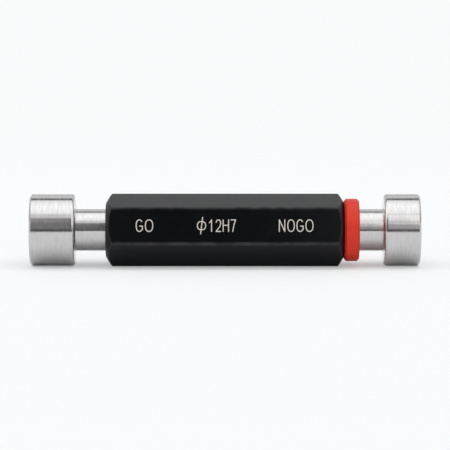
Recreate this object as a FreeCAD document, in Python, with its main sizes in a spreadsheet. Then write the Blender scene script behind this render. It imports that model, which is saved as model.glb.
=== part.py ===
import FreeCAD, Part
import math
import os

import Sketcher
from FreeCAD import Vector

# Double-ended plug gauge: a hexagonal handle with a ground steel member in each end.
# The gauge's axis is X, the GO member points to -X and the NO GO member to +X, and the
# origin is on the axis, half way along the handle. The gauge lies on its two heads,
# rolled until a corner of the handle almost touches down, so +Z is up and the flat
# that carries the marking faces -Y and leans back a little.

# Driving dimensions, in millimetres and degrees
sizes = (
    ("nominal_diameter", 12.0, "hole that the gauge tests, and the GO head's diameter"),
    ("hole_tolerance", 0.018, "the NO GO head is this much larger, for an H7 hole"),
    ("go_head_length", 7.5, "the GO head is the long one"),
    ("nogo_head_length", 6.05, ""),
    ("lead_chamfer", 0.3, "outer edge of each head, which leads it into a hole"),
    ("head_rounding", 0.5, "inner edge of each head, polished round"),
    ("neck_diameter", 7.0, "neck, and the large end of the taper shank"),
    ("go_neck_length", 5.2, "from the handle to the GO head"),
    ("nogo_neck_length", 6.65, "from the handle to the NO GO head"),
    ("neck_cone", 0.15, "filled corner where the neck runs into the head"),
    ("shank_length", 12.0, "part of each member that is inside the handle"),
    ("taper_length", 50.0, "length in which the shank's diameter changes by 1"),
    ("shank_chamfer", 0.4, "inner end of the shank"),
    ("centre_diameter", 1.25, "pilot of the centre hole in the end of each head"),
    ("centre_depth", 2.3, ""),
    ("centre_mouth", 2.65, "largest diameter of a centre hole's cone"),
    ("centre_angle", 60.0, "cone that the grinding centre runs in"),
    ("drill_point", 118.0, ""),
    ("handle_length", 40.0, ""),
    ("across_flats", 10.8, "hexagonal bar"),
    ("edge_radius", 0.5, "long edges of the bar"),
    ("flat_lean", 14.0, "how far the marked flat leans back from upright"),
    ("end_face_diameter", 9.0, "flat of the handle's end, inside the turned dome"),
    ("end_dome_radius", 10.0, "turned round the end, so that it takes off the corners"),
    ("socket_spare", 1.5, "how far the taper socket runs on past the shank"),
    ("mouth_chamfer", 0.15, "deburred mouth of the socket"),
    ("pilot_diameter", 5.5, "bore that joins the two sockets"),
    ("ring_diameter", 10.5, ""),
    ("ring_width", 2.5, ""),
    ("ring_chamfer", 0.35, "both outer edges of the ring"),
)

doc = FreeCAD.newDocument("PlugGauge")


def fill_sheet():
    sheet = doc.addObject("Spreadsheet::Sheet", "Sizes")
    for row, (alias, number, note) in enumerate(sizes, start=1):
        sheet.set("A%d" % row, alias)
        sheet.set("B%d" % row, str(number))
        sheet.setAlias("B%d" % row, alias)
        sheet.set("C%d" % row, note)
    doc.recompute()
    return sheet


sheet = fill_sheet()


def value(expression):
    """The number that an expression on the sheet's sizes gives now."""
    return float(sheet.evalExpression(expression))


def new_body(label):
    body = doc.addObject("PartDesign::Body", label)
    body.Label = label
    return body


def new_sketch(body, name, role):
    """A sketch on one of the body's own origin planes."""
    plane = [item for item in body.Origin.OriginFeatures if item.Role == role][0]
    sketch = body.newObject("Sketcher::SketchObject", name)
    sketch.AttachmentSupport = (plane, "")
    sketch.MapMode = "FlatFace"
    return sketch


def bind(sketch, constraint, name, expression):
    """Add a dimension to a sketch and tie it to the sheet."""
    index = sketch.addConstraint(constraint)
    sketch.renameConstraint(index, name)
    sketch.setExpression("Constraints." + name, expression)


def turned_outline(body, name, corners):
    """Closed outline of a turned shape, whose corners are (place along X, radius)."""
    sketch = new_sketch(body, name, "XZ_Plane")
    points = [Vector(value(along), value(radius), 0) for along, radius in corners]
    count = len(points)
    for index in range(count):
        sketch.addGeometry(Part.LineSegment(points[index], points[(index + 1) % count]))
    for index in range(count):
        sketch.addConstraint(Sketcher.Constraint("Coincident", index, 2, (index + 1) % count, 1))
    for index, (along, radius) in enumerate(corners):
        if along == "0":
            sketch.addConstraint(Sketcher.Constraint("PointOnObject", index, 1, -2))
        else:
            place = Sketcher.Constraint("DistanceX", -1, 1, index, 1, points[index].x)
            bind(sketch, place, "along%d" % index, along)
        if radius == "0":
            sketch.addConstraint(Sketcher.Constraint("PointOnObject", index, 1, -1))
        else:
            place = Sketcher.Constraint("DistanceY", -1, 1, index, 1, points[index].y)
            bind(sketch, place, "radius%d" % index, radius)
    return sketch


def turn(body, kind, name, sketch):
    """Revolve a turned outline round the axis: Revolution adds metal, Groove cuts it."""
    feature = body.newObject("PartDesign::" + kind, name)
    feature.Profile = sketch
    feature.ReferenceAxis = (sketch, ["H_Axis"])
    feature.Angle = 360
    sketch.Visibility = False
    doc.recompute()
    return feature


def rims(feature, places):
    """Names of a feature's round edges at the given (place along X, radius)."""
    found = []
    for along, radius in places:
        for number, edge in enumerate(feature.Shape.Edges, start=1):
            if not isinstance(edge.Curve, Part.Circle):
                continue
            off = abs(edge.Curve.Center.x - value(along))
            if off < 1e-6 and abs(edge.Curve.Radius - value(radius)) < 1e-6:
                found.append("Edge%d" % number)
    return found


def dress(body, kind, name, base, edges, size, expression):
    """A Fillet or Chamfer on the named edges of a feature."""
    feature = body.newObject("PartDesign::" + kind, name)
    feature.Base = (base, edges)
    feature.setExpression(size, expression)
    doc.recompute()
    return feature


def hexagonal_bar(body):
    """The drawn bar: a hexagon round a circle of the size across flats, turned by the lean."""
    sketch = new_sketch(body, "BarSection", "YZ_Plane")
    corner_radius = value("across_flats") / 2 / math.cos(math.radians(30))
    # the marked flat's outward direction, from +Y
    facing = math.radians(180 - value("flat_lean"))
    turns = [facing + math.radians(60 * index - 30) for index in range(6)]
    corners = [Vector(math.cos(turn), math.sin(turn), 0) * corner_radius for turn in turns]
    for index in range(6):
        sketch.addGeometry(Part.LineSegment(corners[index], corners[(index + 1) % 6]))
    circle = Part.Circle(Vector(0, 0, 0), Vector(0, 0, 1), corner_radius)
    round_corners = sketch.addGeometry(circle, True)
    sketch.addConstraint(Sketcher.Constraint("Coincident", round_corners, 3, -1, 1))
    for index in range(6):
        sketch.addConstraint(Sketcher.Constraint("Coincident", index, 2, (index + 1) % 6, 1))
        sketch.addConstraint(Sketcher.Constraint("PointOnObject", index, 1, round_corners))
    for index in range(1, 6):
        sketch.addConstraint(Sketcher.Constraint("Equal", 0, index))
    across = Sketcher.Constraint("Distance", 3, 1, 0, value("across_flats"))
    bind(sketch, across, "across_flats", "Sizes.across_flats")
    lean = Sketcher.Constraint("Angle", 0, facing + math.radians(90))
    bind(sketch, lean, "lean", "270 deg - Sizes.flat_lean * 1 deg")

    bar = body.newObject("PartDesign::Pad", "Bar")
    bar.Profile = sketch
    bar.SideType = "Symmetric"
    bar.setExpression("Length", "Sizes.handle_length")
    sketch.Visibility = False
    doc.recompute()
    return bar


def dome_outline(body):
    """What the tool takes off outside the slightly domed end, with its arc on the axis."""
    sketch = new_sketch(body, "EndDomeOutline", "XZ_Plane")
    end = value("handle_length / 2")
    face = value("end_face_diameter / 2")
    radius = value("end_dome_radius")
    beyond_corners = "Sizes.across_flats / 2 / cos(30) + Sizes.edge_radius"
    outside = value(beyond_corners)
    middle = end - math.sqrt(radius ** 2 - face ** 2)
    back = middle + math.sqrt(radius ** 2 - outside ** 2)
    circle = Part.Circle(Vector(middle, 0, 0), Vector(0, 0, 1), radius)
    arc = Part.ArcOfCircle(circle, math.asin(face / radius), math.asin(outside / radius))
    sketch.addGeometry(Part.LineSegment(Vector(end, face, 0), Vector(end, outside, 0)))
    sketch.addGeometry(Part.LineSegment(Vector(end, outside, 0), Vector(back, outside, 0)))
    sketch.addGeometry(arc)
    sketch.addConstraint(Sketcher.Constraint("Coincident", 0, 2, 1, 1))
    sketch.addConstraint(Sketcher.Constraint("Coincident", 1, 2, 2, 2))
    sketch.addConstraint(Sketcher.Constraint("Coincident", 2, 1, 0, 1))
    sketch.addConstraint(Sketcher.Constraint("Vertical", 0))
    sketch.addConstraint(Sketcher.Constraint("Horizontal", 1))
    sketch.addConstraint(Sketcher.Constraint("PointOnObject", 2, 3, -1))
    at_end = Sketcher.Constraint("DistanceX", -1, 1, 0, 1, end)
    bind(sketch, at_end, "end", "Sizes.handle_length / 2")
    at_face = Sketcher.Constraint("DistanceY", -1, 1, 0, 1, face)
    bind(sketch, at_face, "face", "Sizes.end_face_diameter / 2")
    at_outside = Sketcher.Constraint("DistanceY", -1, 1, 1, 1, outside)
    bind(sketch, at_outside, "outside", beyond_corners)
    bind(sketch, Sketcher.Constraint("Radius", 2, radius), "dome", "Sizes.end_dome_radius")
    return sketch


def build_handle():
    body = new_body("handle")
    bar = hexagonal_bar(body)
    long_edges = [
        "Edge%d" % number
        for number, edge in enumerate(bar.Shape.Edges, start=1)
        if abs(edge.tangentAt(edge.FirstParameter).x) > 0.99
    ]
    dress(body, "Fillet", "RoundedEdges", bar, long_edges, "Radius", "Sizes.edge_radius")

    dome = turn(body, "Groove", "EndDome", dome_outline(body))

    # taper socket, reamed a little past the shank, with a deburred mouth
    end = "Sizes.handle_length / 2"
    mouth = "Sizes.neck_diameter / 2 + Sizes.mouth_chamfer"
    below_mouth = "Sizes.neck_diameter / 2 - Sizes.mouth_chamfer / Sizes.taper_length / 2"
    depth = "(Sizes.shank_length + Sizes.socket_spare)"
    bottom = "Sizes.neck_diameter / 2 - " + depth + " / Sizes.taper_length / 2"
    socket_outline = turned_outline(body, "SocketOutline", (
        (end, "0"),
        (end, mouth),
        (end + " - Sizes.mouth_chamfer", below_mouth),
        (end + " - " + depth, bottom),
        (end + " - " + depth, "0"),
    ))
    socket = turn(body, "Groove", "Socket", socket_outline)

    both_ends = body.newObject("PartDesign::Mirrored", "BothEnds")
    both_ends.Originals = [dome, socket]
    middle = [item for item in body.Origin.OriginFeatures if item.Role == "YZ_Plane"][0]
    both_ends.MirrorPlane = (middle, [""])
    body.Tip = both_ends
    doc.recompute()

    pilot_section = new_sketch(body, "PilotSection", "YZ_Plane")
    circle = Part.Circle(Vector(0, 0, 0), Vector(0, 0, 1), value("pilot_diameter / 2"))
    pilot_section.addGeometry(circle)
    pilot_section.addConstraint(Sketcher.Constraint("Coincident", 0, 3, -1, 1))
    size = Sketcher.Constraint("Diameter", 0, value("pilot_diameter"))
    bind(pilot_section, size, "pilot_diameter", "Sizes.pilot_diameter")
    pilot = body.newObject("PartDesign::Pocket", "PilotBore")
    pilot.Profile = pilot_section
    pilot.SideType = "Symmetric"
    pilot.setExpression("Length", "Sizes.handle_length")
    pilot_section.Visibility = False
    doc.recompute()
    return body


def centre_hole(body, name, along):
    """Centre hole in the end of a head: a pilot and a cone for the grinding centre."""
    sketch = new_sketch(body, name + "Place", "YZ_Plane")
    sketch.setExpression("AttachmentOffset.Base.z", along)
    circle = Part.Circle(Vector(0, 0, 0), Vector(0, 0, 1), value("centre_diameter / 2"))
    sketch.addGeometry(circle)
    sketch.addConstraint(Sketcher.Constraint("Coincident", 0, 3, -1, 1))
    size = Sketcher.Constraint("Diameter", 0, value("centre_diameter"))
    bind(sketch, size, "pilot", "Sizes.centre_diameter")
    sketch.Visibility = False
    doc.recompute()

    hole = body.newObject("PartDesign::Hole", name)
    hole.Profile = sketch
    hole.DepthType = "Dimension"
    hole.DrillPoint = "Angled"
    hole.HoleCutType = "Countersink"
    hole.setExpression("Diameter", "Sizes.centre_diameter")
    hole.setExpression("Depth", "Sizes.centre_depth")
    hole.setExpression("DrillPointAngle", "Sizes.drill_point")
    hole.setExpression("HoleCutDiameter", "Sizes.centre_mouth")
    hole.setExpression("HoleCutCountersinkAngle", "Sizes.centre_angle")
    doc.recompute()
    return hole


def build_member(label, head_diameter, head_length, neck_length):
    """A gauging member: head, neck and taper shank. X = 0 is the mouth of its socket."""
    body = new_body(label)
    head = head_diameter + " / 2"
    neck = "Sizes.neck_diameter / 2"
    shank_end = "Sizes.neck_diameter / 2 - Sizes.shank_length / Sizes.taper_length / 2"
    inner = neck_length
    outer = neck_length + " + " + head_length
    outline = turned_outline(body, label + "_outline", (
        ("-Sizes.shank_length", "0"),
        ("-Sizes.shank_length", shank_end),
        ("0", neck),
        (inner, neck),
        (inner, head),
        (outer, head),
        (outer, "0"),
    ))
    blank = turn(body, "Revolution", label + "_blank", outline)
    led = dress(
        body, "Chamfer", label + "_lead", blank, rims(blank, ((outer, head),)), "Size",
        "Sizes.lead_chamfer"
    )
    rounded = dress(
        body, "Fillet", label + "_rounding", led, rims(led, ((inner, head),)), "Radius",
        "Sizes.head_rounding"
    )
    shank_rim = rims(rounded, (("-Sizes.shank_length", shank_end),))
    eased = dress(
        body, "Chamfer", label + "_shank_chamfer", rounded, shank_rim, "Size",
        "Sizes.shank_chamfer"
    )
    neck_rim = rims(eased, ((inner, neck),))
    dress(body, "Chamfer", label + "_neck_cone", eased, neck_rim, "Size", "Sizes.neck_cone")
    centre_hole(body, label + "_centre", outer)
    return body


def build_ring():
    """The red ring: it grips the neck and sits against the end of the handle."""
    body = new_body("nogo_ring")
    section = new_sketch(body, "RingSection", "YZ_Plane")
    for index, (name, size) in enumerate((
        ("outside", "Sizes.ring_diameter"),
        ("bore", "Sizes.neck_diameter"),
    )):
        circle = Part.Circle(Vector(0, 0, 0), Vector(0, 0, 1), value(size) / 2)
        section.addGeometry(circle)
        section.addConstraint(Sketcher.Constraint("Coincident", index, 3, -1, 1))
        bind(section, Sketcher.Constraint("Diameter", index, value(size)), name, size)
    blank = body.newObject("PartDesign::Pad", "RingBlank")
    blank.Profile = section
    blank.setExpression("Length", "Sizes.ring_width")
    section.Visibility = False
    doc.recompute()
    outside = "Sizes.ring_diameter / 2"
    edges = rims(blank, (("0", outside), ("Sizes.ring_width", outside)))
    dress(body, "Chamfer", "RingEdges", blank, edges, "Size", "Sizes.ring_chamfer")
    return body


# features that only take metal off, and the least that they take, in cubic millimetres
cuts = ("PartDesign::Groove", "PartDesign::Mirrored", "PartDesign::Pocket", "PartDesign::Hole")
least_cut = 0.1


def check_features():
    """Stop on anything in the document that didn't compute."""
    for item in doc.Objects:
        if "Invalid" in item.State or "Error" in item.State:
            raise RuntimeError(item.Label + " failed: " + ", ".join(item.State))


def check_body(body):
    """Stop on a cut that missed, or on a body that isn't one valid solid."""
    for item in body.Group:
        if item.TypeId not in cuts:
            continue
        if item.Shape.Volume > item.BaseFeature.Shape.Volume - least_cut:
            raise RuntimeError(item.Label + " cuts nothing")
    shape = body.Shape
    if shape.isNull() or not shape.isValid() or len(shape.Solids) != 1:
        raise RuntimeError(body.Label + " is not one valid solid")
    print("%s: %.1f mm3" % (body.Label, shape.Volume))


handle = build_handle()
go_member = build_member(
    "go_member", "Sizes.nominal_diameter", "Sizes.go_head_length", "Sizes.go_neck_length"
)
nogo_member = build_member(
    "nogo_member", "(Sizes.nominal_diameter + Sizes.hole_tolerance)",
    "Sizes.nogo_head_length", "Sizes.nogo_neck_length"
)
nogo_ring = build_ring()

# the GO end is turned round to point to -X, and all three start at an end of the handle
go_member.Placement.Rotation = FreeCAD.Rotation(Vector(0, 0, 1), 180)
go_member.setExpression("Placement.Base.x", "-Sizes.handle_length / 2")
nogo_member.setExpression("Placement.Base.x", "Sizes.handle_length / 2")
nogo_ring.setExpression("Placement.Base.x", "Sizes.handle_length / 2")
doc.recompute()

check_features()
bodies = (handle, go_member, nogo_member, nogo_ring)
for body in bodies:
    check_body(body)
os.makedirs("parts", exist_ok=True)
for body in bodies:
    body.Shape.exportStep("parts/" + body.Label + ".step")
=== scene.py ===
import math

import bpy
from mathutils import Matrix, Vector, geometry


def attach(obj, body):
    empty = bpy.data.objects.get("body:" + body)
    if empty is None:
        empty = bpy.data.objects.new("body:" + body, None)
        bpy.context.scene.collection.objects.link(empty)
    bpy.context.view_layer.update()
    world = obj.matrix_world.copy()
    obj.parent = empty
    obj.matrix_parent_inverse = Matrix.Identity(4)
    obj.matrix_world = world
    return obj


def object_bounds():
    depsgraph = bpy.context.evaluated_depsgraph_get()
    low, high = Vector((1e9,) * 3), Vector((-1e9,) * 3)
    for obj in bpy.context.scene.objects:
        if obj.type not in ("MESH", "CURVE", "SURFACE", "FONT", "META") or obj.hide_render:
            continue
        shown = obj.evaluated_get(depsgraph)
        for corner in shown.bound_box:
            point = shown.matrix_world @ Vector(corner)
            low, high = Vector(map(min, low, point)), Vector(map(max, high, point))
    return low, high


# Double-ended plug gauge. X runs along its axis towards the NO GO end and Z is up.
mm = 0.001

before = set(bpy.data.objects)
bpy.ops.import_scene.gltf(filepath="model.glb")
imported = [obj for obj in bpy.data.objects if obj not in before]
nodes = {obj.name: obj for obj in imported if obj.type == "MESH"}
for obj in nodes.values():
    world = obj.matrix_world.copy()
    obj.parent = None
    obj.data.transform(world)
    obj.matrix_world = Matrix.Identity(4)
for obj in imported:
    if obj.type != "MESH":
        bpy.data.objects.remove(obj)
cadLow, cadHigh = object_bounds()
print("frame loaded:", ", ".join(sorted(nodes)))


# ---- helpers for node materials

def newMaterial(name):
    material = bpy.data.materials.new(name)
    material.use_nodes = True
    tree = material.node_tree
    tree.nodes.clear()
    output = tree.nodes.new("ShaderNodeOutputMaterial")
    shader = tree.nodes.new("ShaderNodeBsdfPrincipled")
    tree.links.new(shader.outputs["BSDF"], output.inputs["Surface"])
    return material, tree, shader


def feed(tree, socket, source):
    # a socket takes a link from another socket, or a plain number or colour
    if isinstance(source, bpy.types.NodeSocket):
        tree.links.new(source, socket)
    else:
        socket.default_value = source


def sums(tree, operation, *values):
    node = tree.nodes.new("ShaderNodeMath")
    node.operation = operation
    for socket, source in zip(node.inputs, values):
        feed(tree, socket, source)
    return node.outputs[0]


def ramp(tree, source, low, high, fromLow, fromHigh):
    # source from fromLow..fromHigh to low..high, held at both ends
    node = tree.nodes.new("ShaderNodeMapRange")
    node.interpolation_type = "SMOOTHSTEP"
    for name, value in (("Value", source), ("From Min", fromLow), ("From Max", fromHigh),
                        ("To Min", low), ("To Max", high)):
        feed(tree, node.inputs[name], value)
    return node.outputs["Result"]


def blendColour(tree, amount, first, second):
    node = tree.nodes.new("ShaderNodeMix")
    node.data_type = "RGBA"
    feed(tree, node.inputs[0], amount)
    feed(tree, node.inputs[6], first)
    feed(tree, node.inputs[7], second)
    return node.outputs[2]


def noiseAt(tree, vector, scale, detail, rough):
    node = tree.nodes.new("ShaderNodeTexNoise")
    feed(tree, node.inputs["Vector"], vector)
    feed(tree, node.inputs["Scale"], scale)
    feed(tree, node.inputs["Detail"], detail)
    feed(tree, node.inputs["Roughness"], rough)
    return node.outputs["Fac"]


def joined(tree, x, y, z):
    node = tree.nodes.new("ShaderNodeCombineXYZ")
    for socket, source in zip(node.inputs, (x, y, z)):
        feed(tree, socket, source)
    return node.outputs[0]


def blendNumber(tree, amount, first, second):
    node = tree.nodes.new("ShaderNodeMix")
    for socket, source in zip((node.inputs[0], node.inputs[2], node.inputs[3]),
                              (amount, first, second)):
        feed(tree, socket, source)
    return node.outputs[0]


def weighted(tree, first, second, share):
    # share of the first and the rest of the second
    return sums(tree, "ADD", sums(tree, "MULTIPLY", first, share),
                sums(tree, "MULTIPLY", second, round(1.0 - share, 3)))


def bumpInMm(tree, shader, height):
    node = tree.nodes.new("ShaderNodeBump")
    feed(tree, node.inputs["Height"], height)
    feed(tree, node.inputs["Distance"], mm)
    feed(tree, node.inputs["Strength"], 1.0)
    feed(tree, shader.inputs["Normal"], node.outputs["Normal"])


def roundTheAxis(tree, shader, anisotropy):
    # a gloss that is longer one way, set from the direction round the X axis
    shader.inputs["Anisotropic"].default_value = anisotropy
    tangent = tree.nodes.new("ShaderNodeTangent")
    tangent.direction_type = "RADIAL"
    tangent.axis = "X"
    feed(tree, shader.inputs["Tangent"], tangent.outputs[0])


def turnedPlace(tree):
    # where a point is on a turned piece, in millimetres: along the axis, out from it,
    # and round it as the two parts of a direction, with how far the surface faces along X
    place = tree.nodes.new("ShaderNodeTexCoord").outputs["Object"]
    parts = tree.nodes.new("ShaderNodeSeparateXYZ")
    feed(tree, parts.inputs[0], place)
    along = sums(tree, "DIVIDE", parts.outputs[0], mm)
    y = sums(tree, "DIVIDE", parts.outputs[1], mm)
    z = sums(tree, "DIVIDE", parts.outputs[2], mm)
    squares = sums(tree, "ADD", sums(tree, "MULTIPLY", y, y), sums(tree, "MULTIPLY", z, z))
    radius = sums(tree, "SQRT", sums(tree, "ADD", squares, 1e-6))
    roundY = sums(tree, "DIVIDE", y, radius)
    roundZ = sums(tree, "DIVIDE", z, radius)
    facing = tree.nodes.new("ShaderNodeSeparateXYZ")
    feed(tree, facing.inputs[0], tree.nodes.new("ShaderNodeNewGeometry").outputs["Normal"])
    endwise = sums(tree, "ABSOLUTE", facing.outputs[0])
    return along, y, z, radius, roundY, roundZ, endwise


def acrossMarks(tree, along, radius, endwise):
    # marks run round the axis: count them along X on the round, outwards on an end face
    return blendNumber(tree, ramp(tree, endwise, 0.0, 1.0, 0.6, 0.8), along, radius)


# ---- the two steel members: ground heads, turned necks

steel = {
    "colour": (0.63, 0.615, 0.61, 1.0),
    "darkColour": (0.53, 0.52, 0.52, 1.0),
    "roughness": (0.11, 0.21),
    "anisotropy": 0.7,
    "scratchesPerMm": 9.0,      # round the head, from grinding
    "scratchRound": 1.3,        # how soon a scratch changes on its way round
    "smearFineness": 0.35,      # broader marks, as a part of the scratches' number
    "smearRound": 4.0,
    "cloudScale": 0.55,
    "scratchDepth": 0.0003,     # mm
    "neckScratchDepth": 0.0008,
    "headRadius": 5.5,          # beyond this it is a head and not a neck
}


def groundSteel(name, seed):
    material, tree, shader = newMaterial(name)
    along, y, z, radius, roundY, roundZ, endwise = turnedPlace(tree)
    fineness = sums(tree, "MULTIPLY", acrossMarks(tree, along, radius, endwise),
                    steel["scratchesPerMm"])
    spread = steel["scratchRound"]
    scratchPlace = joined(tree, fineness, sums(tree, "MULTIPLY", roundY, spread),
                          sums(tree, "MULTIPLY_ADD", roundZ, spread, seed))
    scratches = noiseAt(tree, scratchPlace, 1.0, 4.0, 0.65)
    spread = steel["smearRound"]
    smearPlace = joined(tree, sums(tree, "MULTIPLY", fineness, steel["smearFineness"]),
                        sums(tree, "MULTIPLY", roundY, spread),
                        sums(tree, "MULTIPLY_ADD", roundZ, spread, seed + 7.0))
    smears = noiseAt(tree, smearPlace, 1.0, 3.0, 0.6)
    cloudPlace = joined(tree, along, y, sums(tree, "ADD", z, seed))
    clouds = noiseAt(tree, cloudPlace, steel["cloudScale"], 3.0, 0.55)
    tone = weighted(tree, scratches, smears, 0.5)
    feed(tree, shader.inputs["Base Color"],
         blendColour(tree, ramp(tree, tone, 0.0, 1.0, 0.3, 0.7),
                     steel["darkColour"], steel["colour"]))
    low, high = steel["roughness"]
    worn = weighted(tree, clouds, smears, 0.6)
    feed(tree, shader.inputs["Roughness"], ramp(tree, worn, low, high, 0.3, 0.7))
    shader.inputs["Metallic"].default_value = 1.0
    # a quarter turn, because ground marks spread a reflection along X
    shader.inputs["Anisotropic Rotation"].default_value = 0.25
    roundTheAxis(tree, shader, steel["anisotropy"])
    deep = ramp(tree, radius, steel["neckScratchDepth"], steel["scratchDepth"],
                steel["headRadius"] - 0.1, steel["headRadius"])
    bumpInMm(tree, shader, sums(tree, "MULTIPLY", scratches, deep))
    return material


# ---- the handle: blackened hexagonal bar with turned ends

handleBlack = {
    "colour": (0.0020, 0.0026, 0.0036, 1.0),
    "edgeHighlightColour": (0.030, 0.030, 0.034, 1.0),    # painted highlight on the long edges and on the turned-end borders
    "turnedColour": (0.018, 0.018, 0.021, 1.0),    # domed ends
    "roughness": (0.20, 0.28),
    "anisotropy": 0.3,
    "turnedRoughness": 0.42,
    "specular": 0.25,
    "edgeStart": 6.0,           # mm from the axis, where the long edges begin
    "edgeFull": 6.12,
    "drawnPerMm": 7.0,          # lines along the bar, from drawing
    "drawnStretch": 0.05,
    "drawnDepth": 0.004,        # mm
    "turnedPerMm": 9.0,         # lines round the domed ends
    "turnedDepth": 0.012,
    "cloudScale": 0.35,
    "domeStart": 0.12,          # how far a face leans along X before it counts as turned
    "domeFull": 0.18,
    "domeRadius": 10.0,         # mm, arc of the turned ends and its middle along X
    "domeMiddle": 11.07,
    "borderWidth": 0.13,        # painted highlight line round each turned end, mm
    "borderSharp": 0.03,
}


def blackenedSteel(name):
    material, tree, shader = newMaterial(name)
    along, y, z, radius, roundY, roundZ, endwise = turnedPlace(tree)
    # drawing marks run along the bar, turning marks round its ends
    drawnPlace = joined(tree, sums(tree, "MULTIPLY", along, handleBlack["drawnStretch"]),
                        sums(tree, "MULTIPLY", y, handleBlack["drawnPerMm"]),
                        sums(tree, "MULTIPLY", z, handleBlack["drawnPerMm"]))
    drawn = noiseAt(tree, drawnPlace, 1.0, 4.0, 0.6)
    turnedMarks = joined(tree, sums(tree, "MULTIPLY", radius, handleBlack["turnedPerMm"]),
                         sums(tree, "MULTIPLY", roundY, 0.8), roundZ)
    turnedMarks = noiseAt(tree, turnedMarks, 1.0, 3.0, 0.6)
    clouds = noiseAt(tree, joined(tree, along, y, z), handleBlack["cloudScale"], 3.0, 0.5)
    onDome = ramp(tree, endwise, 0.0, 1.0, handleBlack["domeStart"], handleBlack["domeFull"])
    onEdge = ramp(tree, radius, 0.0, 1.0, handleBlack["edgeStart"], handleBlack["edgeFull"])
    # painted highlight: a lighter colour along the long edges, mottled by the clouds
    edgeHighlight = sums(tree, "MULTIPLY", onEdge, ramp(tree, clouds, 0.35, 1.0, 0.3, 0.65))
    colour = blendColour(tree, edgeHighlight, handleBlack["colour"], handleBlack["edgeHighlightColour"])
    striped = blendColour(tree, ramp(tree, turnedMarks, 0.0, 1.0, 0.3, 0.7),
                          handleBlack["colour"], handleBlack["turnedColour"])
    colour = blendColour(tree, onDome, colour, striped)
    # the sharp border between each flat and the turned end gets a painted highlight line
    fromMiddle = sums(tree, "SUBTRACT", sums(tree, "ABSOLUTE", along),
                      handleBlack["domeMiddle"])
    fromMiddle = sums(tree, "MAXIMUM", 0.0, fromMiddle)
    reach = sums(tree, "ADD", sums(tree, "MULTIPLY", fromMiddle, fromMiddle),
                 sums(tree, "MULTIPLY", radius, radius))
    reach = sums(tree, "SQRT", reach)
    border = ramp(tree, reach, 0.0, 1.0,
                  handleBlack["domeRadius"] - handleBlack["borderWidth"],
                  handleBlack["domeRadius"] - handleBlack["borderSharp"])
    border = sums(tree, "MULTIPLY", border, sums(tree, "SUBTRACT", 1.0, onDome))
    feed(tree, shader.inputs["Base Color"],
         blendColour(tree, border, colour, handleBlack["edgeHighlightColour"]))
    low, high = handleBlack["roughness"]
    satin = ramp(tree, weighted(tree, drawn, clouds, 0.6), low, high, 0.3, 0.7)
    feed(tree, shader.inputs["Roughness"],
         blendNumber(tree, onDome, satin, handleBlack["turnedRoughness"]))
    shader.inputs["Specular IOR Level"].default_value = handleBlack["specular"]
    roundTheAxis(tree, shader, handleBlack["anisotropy"])
    marks = blendNumber(tree, onDome, sums(tree, "MULTIPLY", drawn, handleBlack["drawnDepth"]),
                        sums(tree, "MULTIPLY", turnedMarks, handleBlack["turnedDepth"]))
    bumpInMm(tree, shader, marks)
    return material


# ---- the red ring: turned plastic

ringRed = {
    "colour": (0.60, 0.018, 0.006, 1.0),
    "paleColour": (0.70, 0.034, 0.012, 1.0),
    "roughness": (0.36, 0.5),
    "specular": 0.3,
    "linesPerMm": 8.0,
    "lineDepth": 0.01,          # mm
    "cloudScale": 0.6,
}


def redPlastic(name):
    material, tree, shader = newMaterial(name)
    along, y, z, radius, roundY, roundZ, endwise = turnedPlace(tree)
    fineness = sums(tree, "MULTIPLY", acrossMarks(tree, along, radius, endwise),
                    ringRed["linesPerMm"])
    lines = noiseAt(tree, joined(tree, fineness, roundY, roundZ), 1.0, 4.0, 0.6)
    clouds = noiseAt(tree, joined(tree, along, y, z), ringRed["cloudScale"], 3.0, 0.5)
    mixed = weighted(tree, lines, clouds, 0.6)
    feed(tree, shader.inputs["Base Color"],
         blendColour(tree, ramp(tree, mixed, 0.0, 1.0, 0.3, 0.7),
                     ringRed["colour"], ringRed["paleColour"]))
    low, high = ringRed["roughness"]
    feed(tree, shader.inputs["Roughness"], ramp(tree, mixed, low, high, 0.3, 0.7))
    shader.inputs["Specular IOR Level"].default_value = ringRed["specular"]
    bumpInMm(tree, shader, sums(tree, "MULTIPLY", lines, ringRed["lineDepth"]))
    return material


def dress(node, material):
    for slot in nodes[node].material_slots:
        slot.material = material


dress("handle", blackenedSteel("blackenedSteel"))
dress("go_member", groundSteel("goSteel", 0.0))
dress("nogo_member", groundSteel("nogoSteel", 31.0))
dress("nogo_ring", redPlastic("redPlastic"))
print("materials on the handle, both members and the ring")


# ---- the marking on the front flat: GO, the nominal size and NO GO

marking = {
    "height": 1.94,             # mm, from centre line to centre line of the strokes
    "stroke": 0.17,
    "proud": 0.012,
    "flat": 10.8 / 2,           # from the axis to the flat
    "lean": 14.0,               # degrees that the flat leans back
    "rise": 0.01,               # middle of the letters, up the flat from its middle
    "colour": (0.62, 0.58, 0.52, 1.0),
    "burntColour": (0.42, 0.39, 0.35, 1.0),
    "burntShare": 0.4,
    "grain": 9.0,
    "grainDepth": 0.01,         # mm
    "roughness": (0.5, 0.7),
}


def ring(cx, cy, rx, ry, start=0.0, end=360.0, count=36, square=2.35):
    # an oval, or part of one, a little squarer than an ellipse
    points = []
    for step in range(count + 1):
        angle = math.radians(start + (end - start) * step / count)
        c, s = math.cos(angle), math.sin(angle)
        points.append((cx + rx * math.copysign(abs(c) ** (2 / square), c),
                       cy + ry * math.copysign(abs(s) ** (2 / square), s)))
    return points


# each letter: strokes in units of the letter's height, over a base line at 0
def letterO(w):
    return [ring(w / 2, 0.5, w / 2, 0.5)]


def letterG(w):
    bow = ring(w / 2, 0.5, w / 2, 0.5, 42.0, 318.0, 30)
    return [bow + [(w, 0.17), (w, 0.46)], [(w, 0.46), (w * 0.56, 0.46)]]


def letterN(w):
    return [[(0, 0), (0, 1), (w, 0), (w, 1)]]


def letterH(w):
    return [[(0, 0), (0, 1)], [(w, 0), (w, 1)], [(0, 0.53), (w, 0.53)]]


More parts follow.
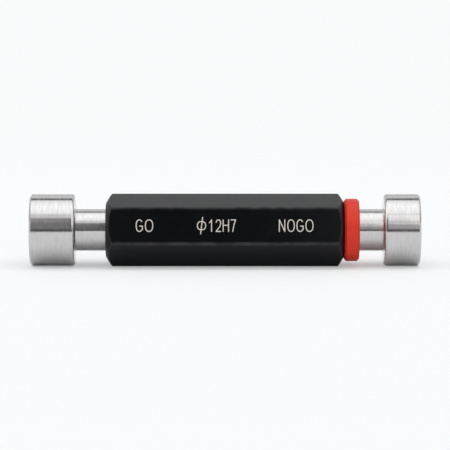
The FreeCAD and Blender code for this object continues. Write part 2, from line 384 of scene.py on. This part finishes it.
def figure1(w):
    return [[(0, 0.76), (w * 0.55, 0.86), (w, 1.0), (w, 0)]]


def figure2(w):
    bow = ring(w / 2, 0.73, w / 2, 0.27, 165.0, -20.0, 18, 2.1)
    return [bow + [(w * 0.86, 0.46), (0, 0), (w, 0)]]


def figure7(w):
    return [[(0, 1), (w, 1), (w * 0.62, 0.56), (w * 0.36, 0)]]


def diameterSign(w):
    return [ring(w / 2, 0.5, w / 2, 0.36), [(w * 0.38, -0.22), (w * 0.64, 1.22)]]


# strokes, centre line from its left edge to its right edge along X, in mm
words = (
    ("marking_go", (
        (letterG, -14.79, -13.76), (letterO, -13.26, -12.04),
    )),
    ("marking_size", (
        (diameterSign, -4.60, -3.22), (figure1, -2.60, -2.24), (figure2, -1.48, -0.72),
        (letterH, -0.31, 0.59), (figure7, 1.02, 1.76),
    )),
    ("marking_nogo", (
        (letterN, 9.05, 9.96), (letterO, 10.46, 11.54), (letterG, 11.98, 13.01),
        (letterO, 13.48, 14.65),
    )),
)


def capsule(a, b, radius, count=10):
    # outline of one straight stroke with round ends
    direction = math.atan2(b[1] - a[1], b[0] - a[0])
    points = []
    for centre, start in ((b, -90.0), (a, 90.0)):
        for step in range(count + 1):
            angle = direction + math.radians(start + 180.0 * step / count)
            points.append(Vector((centre[0] + radius * math.cos(angle),
                                  centre[1] + radius * math.sin(angle))))
    return points


def flatLetter(strokes):
    # one flat shape from overlapping strokes, as points and triangles
    points, outlines = [], []
    for stroke in strokes:
        for a, b in zip(stroke, stroke[1:]):
            outline = capsule(a, b, marking["stroke"] / 2)
            outlines.append(list(range(len(points), len(points) + len(outline))))
            points.extend(outline)
    made = geometry.delaunay_2d_cdt(points, [], outlines, 1, 1e-6, True)
    covered = [face for face, sources in zip(made[2], made[5]) if sources]
    return made[0], covered


def onFlat(x, up, out):
    # a point on the marked flat, which leans back, in metres
    lean = math.radians(marking["lean"])
    away = marking["flat"] + out
    return Vector((x, -math.cos(lean) * away + math.sin(lean) * up,
                   math.sin(lean) * away + math.cos(lean) * up)) * mm


def makeWord(name, letters):
    vertices, faces = [], []
    for make, left, right in letters:
        scaled = [
            [(left + x * marking["height"],
              marking["rise"] + (y - 0.5) * marking["height"]) for x, y in stroke]
            for stroke in make((right - left) / marking["height"])
        ]
        points, covered = flatLetter(scaled)
        base, count = len(vertices), len(points)
        vertices.extend(onFlat(p.x, p.y, marking["proud"]) for p in points)
        vertices.extend(onFlat(p.x, p.y, -marking["proud"]) for p in points)
        edges = {}
        for face in covered:
            faces.append([base + i for i in face])
            faces.append([base + count + i for i in reversed(face)])
            for i, j in zip(face, face[1:] + face[:1]):
                edges[(i, j)] = True
        for i, j in edges:
            if (j, i) not in edges:
                faces.append([base + i, base + count + i, base + count + j, base + j])
    mesh = bpy.data.meshes.new(name)
    mesh.from_pydata(vertices, [], faces)
    mesh.validate()
    word = bpy.data.objects.new(name, mesh)
    bpy.context.scene.collection.objects.link(word)
    return word


def markedMetal(name):
    material, tree, shader = newMaterial(name)
    along, y, z = turnedPlace(tree)[:3]
    burnt = noiseAt(tree, joined(tree, along, y, z), marking["grain"], 3.0, 0.6)
    feed(tree, shader.inputs["Base Color"],
         blendColour(tree, ramp(tree, burnt, 0.0, marking["burntShare"], 0.35, 0.7),
                     marking["colour"], marking["burntColour"]))
    low, high = marking["roughness"]
    feed(tree, shader.inputs["Roughness"], ramp(tree, burnt, low, high, 0.3, 0.7))
    bumpInMm(tree, shader, sums(tree, "MULTIPLY", burnt, marking["grainDepth"]))
    return material


markMaterial = markedMetal("markedMetal")
for wordName, letters in words:
    word = makeWord(wordName, letters)
    word.data.materials.append(markMaterial)
    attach(word, "root")
print("marking made")


# ---- floor, light and camera

studio = {
    "floorColour": (0.90, 0.905, 0.91, 1.0),
    "floorRoughness": 0.7,
    "floorSpecular": 0.1,
    "floorSize": 3.0,           # half its width
    "whiteFrom": 0.05,          # distance from the object where the far white begins
    "whiteFull": 0.3,
    "farWhite": (0.955, 0.962, 0.967, 1.0),
    "nearLift": 0.34,           # how much of that white the eye sees at the object
    "cardDistance": 0.15,
    "skyTint": (0.985, 0.995, 1.0),
    # light that comes from the front (0 degrees), over the top (90), to the back (180)
    "sky": ((0, 0.95), (6, 0.95), (10, 0.75), (28, 0.85), (58, 0.95), (60.5, 1.40),
            (75, 1.55), (90, 1.65), (105, 1.45), (117.5, 1.20), (119, 0.20), (129, 0.22),
            (131, 0.85), (150, 0.85), (163, 0.60), (172, 0.70), (176, 0.95), (180, 0.95)),
}


def floorMaterial():
    material, tree, shader = newMaterial("paleFloor")
    output = shader.outputs["BSDF"].links[0].to_node
    shader.inputs["Base Color"].default_value = studio["floorColour"]
    shader.inputs["Roughness"].default_value = studio["floorRoughness"]
    shader.inputs["Specular IOR Level"].default_value = studio["floorSpecular"]
    # far from the object the floor is plainly white to the eye and in metal
    place = tree.nodes.new("ShaderNodeTexCoord").outputs["Object"]
    away = tree.nodes.new("ShaderNodeVectorMath")
    away.operation = "LENGTH"
    feed(tree, away.inputs[0], place)
    rays = tree.nodes.new("ShaderNodeLightPath")
    seen = sums(tree, "MAXIMUM", rays.outputs["Is Camera Ray"],
                sums(tree, "MAXIMUM", rays.outputs["Is Glossy Ray"],
                     rays.outputs["Is Transmission Ray"]))
    far = sums(tree, "MULTIPLY", seen,
               ramp(tree, away.outputs["Value"], 0.0, 1.0,
                    studio["whiteFrom"], studio["whiteFull"]))
    near = sums(tree, "MULTIPLY", rays.outputs["Is Camera Ray"], studio["nearLift"])
    far = sums(tree, "MAXIMUM", far, near)
    glow = tree.nodes.new("ShaderNodeEmission")
    glow.inputs["Color"].default_value = studio["farWhite"]
    mix = tree.nodes.new("ShaderNodeMixShader")
    feed(tree, mix.inputs[0], far)
    feed(tree, mix.inputs[1], shader.outputs["BSDF"])
    feed(tree, mix.inputs[2], glow.outputs["Emission"])
    feed(tree, output.inputs["Surface"], mix.outputs["Shader"])
    return material


def makeFloor():
    half = studio["floorSize"]
    mesh = bpy.data.meshes.new("floor")
    mesh.from_pydata([(-half, -half, 0), (half, -half, 0), (half, half, 0), (-half, half, 0)],
                     [], [(0, 1, 2, 3)])
    floor = bpy.data.objects.new("floor", mesh)
    floor.location.z = cadLow.z
    bpy.context.scene.collection.objects.link(floor)
    floor.data.materials.append(floorMaterial())


def makeWorld():
    # a long softbox overhead and paler walls, the same all along X
    world = bpy.data.worlds.new("studio")
    bpy.context.scene.world = world
    world.use_nodes = True
    tree = world.node_tree
    parts = tree.nodes.new("ShaderNodeSeparateXYZ")
    feed(tree, parts.inputs[0], tree.nodes.new("ShaderNodeTexCoord").outputs["Generated"])
    forward = sums(tree, "MULTIPLY", parts.outputs[1], -1.0)
    angle = sums(tree, "ARCTAN2", parts.outputs[2], forward)
    steps = tree.nodes.new("ShaderNodeValToRGB")
    feed(tree, steps.inputs[0], sums(tree, "DIVIDE", angle, math.pi))
    stops = steps.color_ramp.elements
    while len(stops) < len(studio["sky"]):
        stops.new(0.5)
    for stop, (height, strength) in zip(stops, studio["sky"]):
        stop.position = height / 180
        stop.color = [strength * part for part in studio["skyTint"]] + [1.0]
    feed(tree, tree.nodes["Background"].inputs["Color"], steps.outputs["Color"])


def card(name, low, high, left, right, strength):
    # a flat card that only shows in reflections, from one height angle to another
    distance = studio["cardDistance"]
    a, b = math.radians(low), math.radians(high)
    lower = (-math.cos(a) * distance, math.sin(a) * distance)
    upper = (-math.cos(b) * distance, math.sin(b) * distance)
    mesh = bpy.data.meshes.new(name)
    mesh.from_pydata([(left, *lower), (right, *lower), (right, *upper), (left, *upper)],
                     [], [(0, 1, 2, 3)])
    thing = bpy.data.objects.new(name, mesh)
    bpy.context.scene.collection.objects.link(thing)
    material = bpy.data.materials.new(name)
    material.use_nodes = True
    tree = material.node_tree
    tree.nodes.clear()
    output = tree.nodes.new("ShaderNodeOutputMaterial")
    glow = tree.nodes.new("ShaderNodeEmission")
    glow.inputs["Color"].default_value = (strength, strength, strength, 1.0)
    feed(tree, output.inputs["Surface"], glow.outputs["Emission"])
    mesh.materials.append(material)
    thing.visible_camera = False
    thing.visible_diffuse = False
    thing.visible_shadow = False
    thing.visible_transmission = False


# cards in front: lower and upper height angle, left and right end, strength
cards = (
    ("darkLow", 0.5, 9, -0.6, 0.6, 0.11),
    ("darkMiddle", 9, 44, -0.027, 0.027, 0.05),
    ("greyLeft", 9, 30, -0.6, -0.027, 0.30),
    ("greyLeftHigh", 30, 44, -0.6, -0.027, 0.42),
    ("softRight", 9, 24, 0.028, 0.6, 0.62),
    ("brightRight", 24, 36, 0.028, 0.6, 1.10),
    ("brightRightHigh", 36, 56, 0.028, 0.6, 1.45),
)


camera = {
    "elevation": 6.5,           # degrees
    "distance": 0.509,
    "sensor": 36.0,             # mm, as the lens
    "lens": 242.0,
    "clip": (0.01, 20.0),
    "aim": (0.0, 0.0, 0.00083),
}


def makeCamera():
    data = bpy.data.cameras.new("camera")
    data.sensor_width = camera["sensor"]
    data.lens = camera["lens"]
    data.clip_start, data.clip_end = camera["clip"]
    thing = bpy.data.objects.new("camera", data)
    angle = math.radians(camera["elevation"])
    back = Vector((0, -math.cos(angle), math.sin(angle)))
    thing.location = Vector(camera["aim"]) + back * camera["distance"]
    thing.rotation_mode = "QUATERNION"
    thing.rotation_quaternion = (-back).to_track_quat("-Z", "Y")
    bpy.context.scene.collection.objects.link(thing)
    bpy.context.scene.camera = thing


makeFloor()
makeWorld()
for settings in cards:
    card(*settings)
makeCamera()
bpy.context.scene.view_settings.view_transform = "Standard"
print("floor, light and camera placed")
